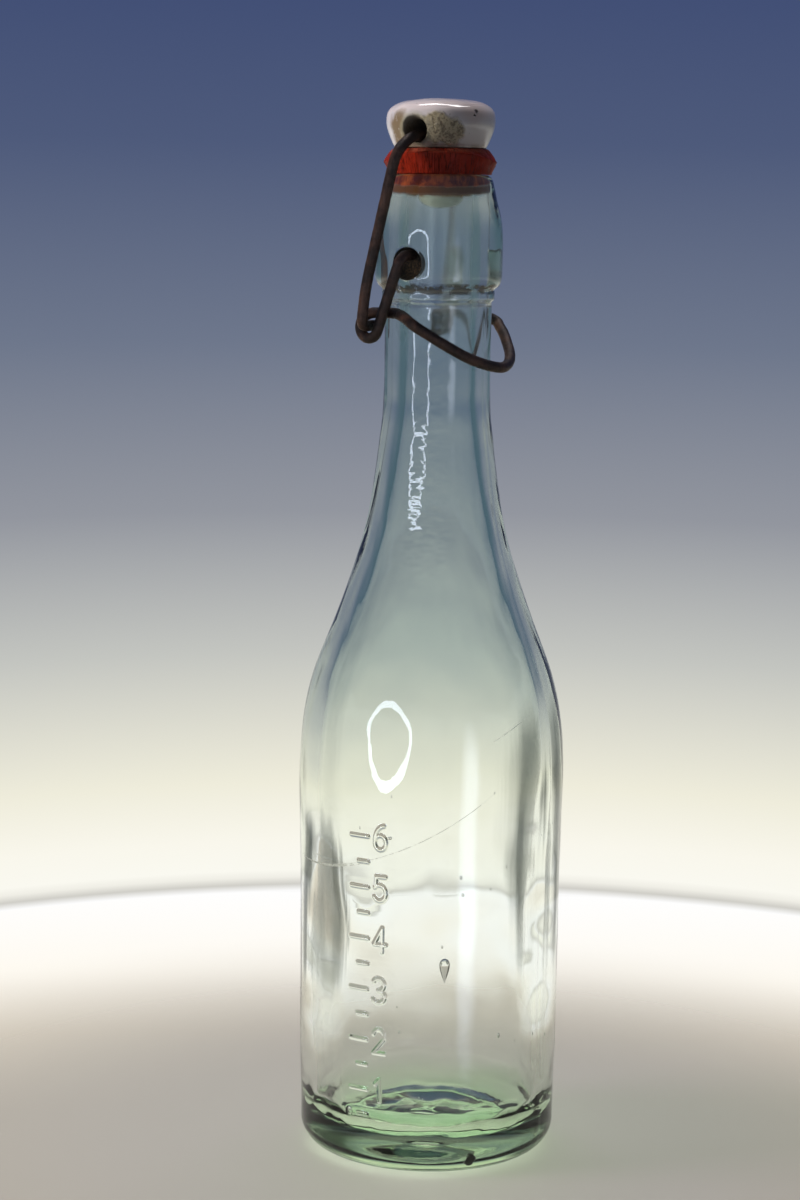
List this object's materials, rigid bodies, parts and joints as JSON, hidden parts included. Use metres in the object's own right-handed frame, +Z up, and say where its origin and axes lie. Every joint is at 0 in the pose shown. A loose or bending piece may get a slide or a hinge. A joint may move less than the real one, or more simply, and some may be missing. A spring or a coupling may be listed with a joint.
{
  "type": "swing-top bottle",
  "caption": "Small round glass bottle closed by a porcelain stopper with a rubber gasket, held down by a wire bail and a thumb lever that pivots in the collar.",
  "frame": {"origin": "centre of the ring that the bottle stands on, on the surface under it", "axes": "+Z up the bottle's axis, X through both pivot holes in the collar, -Y towards the thumb lever"},
  "size_m": [0.062, 0.062, 0.2436],
  "materials": {
    "aqua_glass": "pale aqua moulded glass, glossy, with seeds and fine scratches",
    "white_porcelain": "glossy white glaze, stained and bare round the hole",
    "red_rubber": "aged dark red rubber, cracked round its rim",
    "dark_iron_wire": "dark brown rusted iron wire with a dull sheen"
  },
  "bodies": {
    "bottle": {"bottle": "aqua_glass"},
    "lever": {"lever_wire": "dark_iron_wire"},
    "bail": {"bail_wire": "dark_iron_wire"},
    "stopper": {"stopper": "white_porcelain", "gasket": "red_rubber"}
  },
  "joints": [
    {"name": "lever_lift", "type": "hinge", "parent": "bottle", "child": "lever", "pos_m": [0, 0, 0.20847], "axis": [-1, 0, 0], "range_deg": [0, 100], "deforming": ["gasket"]},
    {"name": "bail_swing", "type": "hinge", "parent": "lever", "child": "bail", "pos_m": [0, 0.0086, 0.19257], "axis": [1, 0, 0], "range_deg": [0, 63.5]},
    {"name": "stopper_tilt", "type": "hinge", "parent": "bail", "child": "stopper", "pos_m": [0, 0, 0.23503], "axis": [1, 0, 0], "range_deg": [0, 36.9]}
  ],
  "couplings": [
    {"joint": "bail_swing", "follows": "lever_lift", "ratio": 0.633},
    {"joint": "stopper_tilt", "follows": "lever_lift", "ratio": 0.367}
  ]
}
